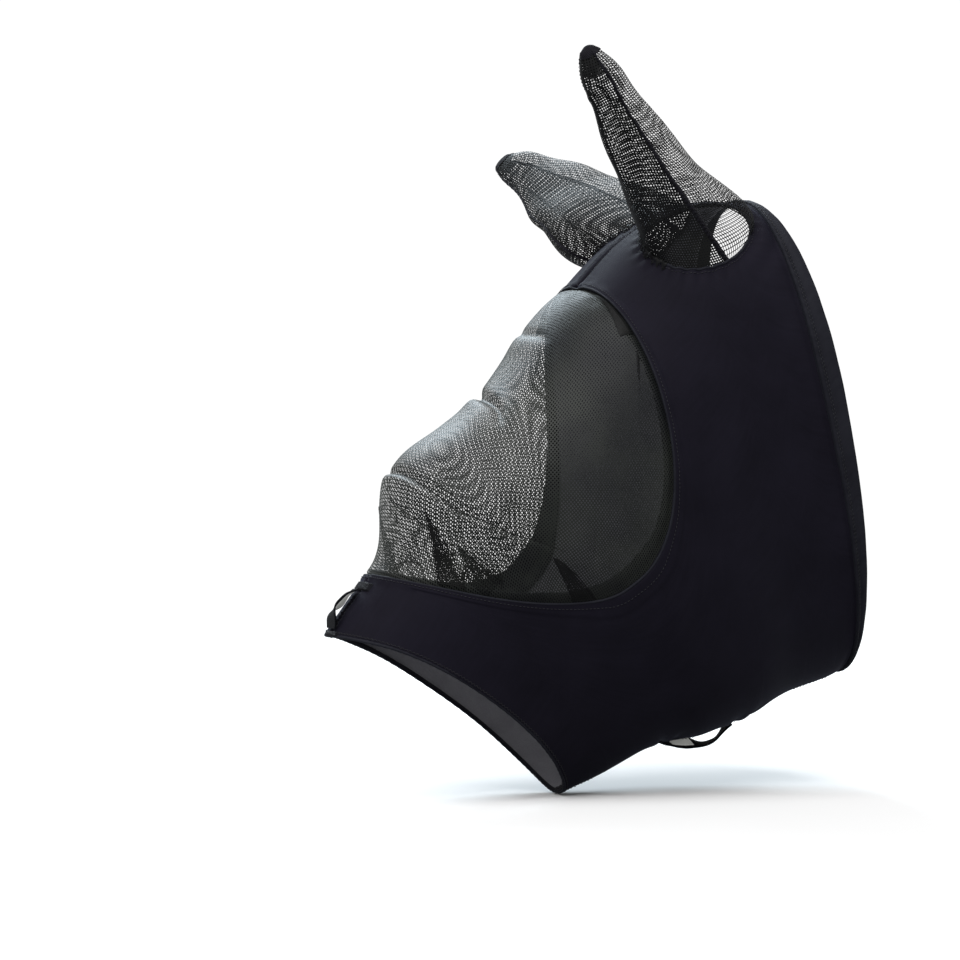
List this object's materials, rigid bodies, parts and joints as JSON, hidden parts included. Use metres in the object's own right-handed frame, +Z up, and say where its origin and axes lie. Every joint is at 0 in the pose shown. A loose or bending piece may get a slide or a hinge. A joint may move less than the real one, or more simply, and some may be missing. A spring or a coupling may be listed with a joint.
{
  "type": "fly mask",
  "caption": "Pull-on stretch fly mask for a horse, with a domed see-through net eye screen, pointed net ear covers and webbing pull loops.",
  "frame": {"origin": "centre of the neck opening", "axes": "+Z up, the nose opening towards -X, the horse's left side at -Y"},
  "size_m": [0.4167, 0.2997, 0.5571],
  "materials": {
    "stretch_fabric": "matt black stretch knit with a violet cast",
    "hem_fabric": "doubled stretch knit, slightly greyer",
    "eye_net": "black square net, two millimetre pitch, see-through",
    "ear_net": "black square net, two millimetre pitch, see-through",
    "doubled_net": "folded double net",
    "seam_tape": "matt black tape",
    "thread": "twisted black thread",
    "webbing": "ribbed black webbing",
    "silver_strip": "light grey reflective ribbon"
  },
  "bodies": {
    "hood": {"left_hood_panel": "stretch_fabric", "right_hood_panel": "stretch_fabric", "crown_seam_tape": "seam_tape", "nose_seam_tape": "seam_tape", "jaw_seam_tape": "seam_tape", "eye_screen": "eye_net", "eye_screen_binding": "seam_tape", "eye_screen_stitching": "thread", "screen_corner_tabs": "doubled_net", "nose_edge_binding": "seam_tape", "nose_edge_stitching": "thread", "neck_hem_band": "hem_fabric", "neck_hem_stitching": "thread", "left_ear_base_binding": "seam_tape", "right_ear_base_binding": "seam_tape", "nose_loop_stitched_ends": "thread", "jaw_loop_stitched_ends": "thread"},
    "left_ear_cover": {"left_ear_front_panel": "ear_net", "left_ear_back_panel": "ear_net", "left_ear_seam_tape": "seam_tape", "left_ear_tip_patch": "doubled_net"},
    "right_ear_cover": {"right_ear_front_panel": "ear_net", "right_ear_back_panel": "ear_net", "right_ear_seam_tape": "seam_tape", "right_ear_tip_patch": "doubled_net"},
    "nose_loop": {"nose_pull_loop": "webbing", "nose_loop_silver_strip": "silver_strip"},
    "jaw_loop": {"jaw_pull_loop": "webbing", "jaw_loop_silver_strip": "silver_strip"}
  },
  "joints": [
    {"name": "left_ear_tilt", "type": "hinge", "parent": "hood", "child": "left_ear_cover", "pos_m": [-0.108, -0.045, 0.158], "axis": [0, 1, 0], "range_deg": [-25, 25]},
    {"name": "right_ear_tilt", "type": "hinge", "parent": "hood", "child": "right_ear_cover", "pos_m": [-0.108, 0.045, 0.158], "axis": [0, 1, 0], "range_deg": [-25, 25]},
    {"name": "nose_loop_swing", "type": "hinge", "parent": "hood", "child": "nose_loop", "pos_m": [-0.37402, 0, -0.13738], "axis": [0.588, 0, 0.8089], "range_deg": [-40, 40]},
    {"name": "jaw_loop_swing", "type": "hinge", "parent": "hood", "child": "jaw_loop", "pos_m": [-0.05035, 0, -0.21742], "axis": [-0.9758, 0, -0.2186], "range_deg": [-40, 40]}
  ]
}
